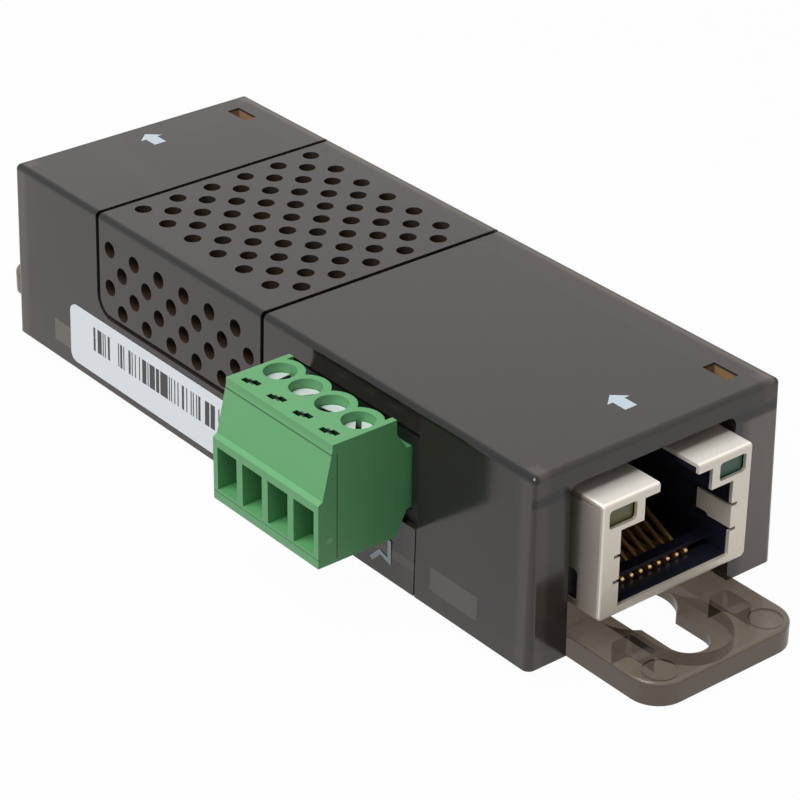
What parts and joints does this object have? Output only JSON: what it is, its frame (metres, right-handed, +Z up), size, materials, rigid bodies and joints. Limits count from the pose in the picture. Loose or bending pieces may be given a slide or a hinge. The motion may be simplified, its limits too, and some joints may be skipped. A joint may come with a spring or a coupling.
{
  "type": "rack temperature sensor",
  "caption": "Smoky translucent environmental probe with a network jack at each end, vent holes, a pluggable green screw terminal and keyhole mounting ears.",
  "frame": {"origin": "middle of the whole footprint, plug included, at the level of the underside that rests on a shelf", "axes": "+Z up out of the vented roof; +Y along the housing towards the sensor jack, so the device jack faces -Y; -X out of the side that holds the screw terminal"},
  "size_m": [0.0368, 0.0954, 0.0191],
  "materials": {
    "smoke_plastic": "smoky translucent moulding, fine satin outside",
    "board_green": "solder mask over glass laminate",
    "plated_shield": "plated sheet, warm grey",
    "insert_dark": "dark blue-black moulding",
    "gold_contact": "gold-plated spring wire",
    "led_olive": "clear olive light pipe, unlit",
    "led_teal": "clear teal light pipe, unlit",
    "header_black": "black moulding",
    "tinned_pin": "tinned",
    "plug_green": "light green moulding",
    "screw_steel": "zinc plated",
    "cage_steel": "zinc plated",
    "label_pale": "printed film, left bare",
    "chip_black": "moulded package",
    "can_metal": "metal can",
    "ceramic_tan": "ceramic chip"
  },
  "bodies": {
    "housing": {"cover": "smoke_plastic", "base": "smoke_plastic", "circuit_board": "board_green", "device_jack_shield": "plated_shield", "sensor_jack_shield": "plated_shield", "device_jack_insert": "insert_dark", "sensor_jack_insert": "insert_dark", "device_jack_contacts": "gold_contact", "sensor_jack_contacts": "gold_contact", "device_jack_led_left": "led_olive", "sensor_jack_led_left": "led_olive", "device_jack_led_right": "led_teal", "sensor_jack_led_right": "led_teal", "terminal_header": "header_black", "terminal_header_pins": "tinned_pin", "label": "label_pale", "microcontroller": "chip_black", "climate_sensor": "chip_black", "transceivers": "chip_black", "resistors": "chip_black", "crystal": "can_metal", "capacitors": "ceramic_tan"},
    "plug": {"plug_body": "plug_green", "plug_contacts": "tinned_pin"},
    "screw_1": {"terminal_screw_1": "screw_steel"},
    "clamp_1": {"terminal_clamp_1": "cage_steel"},
    "screw_2": {"terminal_screw_2": "screw_steel"},
    "clamp_2": {"terminal_clamp_2": "cage_steel"},
    "screw_3": {"terminal_screw_3": "screw_steel"},
    "clamp_3": {"terminal_clamp_3": "cage_steel"},
    "screw_4": {"terminal_screw_4": "screw_steel"},
    "clamp_4": {"terminal_clamp_4": "cage_steel"}
  },
  "joints": [
    {"name": "plug_slide", "type": "slide", "parent": "housing", "child": "plug", "axis": [-1, 0, 0], "range_m": [0, 0.0075]},
    {"name": "screw_turn_1", "type": "hinge", "parent": "plug", "child": "screw_1", "pos_m": [-0.01275, -0.01035, 0.016], "axis": [0, 0, 1], "range_deg": [-2160.5, 0]},
    {"name": "clamp_lift_1", "type": "slide", "parent": "plug", "child": "clamp_1", "axis": [0, 0, 1], "range_m": [0, 0.003]},
    {"name": "screw_turn_2", "type": "hinge", "parent": "plug", "child": "screw_2", "pos_m": [-0.01275, -0.01385, 0.016], "axis": [0, 0, 1], "range_deg": [-2160.5, 0]},
    {"name": "clamp_lift_2", "type": "slide", "parent": "plug", "child": "clamp_2", "axis": [0, 0, 1], "range_m": [0, 0.003]},
    {"name": "screw_turn_3", "type": "hinge", "parent": "plug", "child": "screw_3", "pos_m": [-0.01275, -0.01735, 0.016], "axis": [0, 0, 1], "range_deg": [-2160.5, 0]},
    {"name": "clamp_lift_3", "type": "slide", "parent": "plug", "child": "clamp_3", "axis": [0, 0, 1], "range_m": [0, 0.003]},
    {"name": "screw_turn_4", "type": "hinge", "parent": "plug", "child": "screw_4", "pos_m": [-0.01275, -0.02085, 0.016], "axis": [0, 0, 1], "range_deg": [-2160.5, 0]},
    {"name": "clamp_lift_4", "type": "slide", "parent": "plug", "child": "clamp_4", "axis": [0, 0, 1], "range_m": [0, 0.003]}
  ],
  "couplings": [
    {"joint": "screw_turn_1", "follows": "clamp_lift_1", "rad_per_m": -12566},
    {"joint": "screw_turn_2", "follows": "clamp_lift_2", "rad_per_m": -12566},
    {"joint": "screw_turn_3", "follows": "clamp_lift_3", "rad_per_m": -12566},
    {"joint": "screw_turn_4", "follows": "clamp_lift_4", "rad_per_m": -12566}
  ]
}
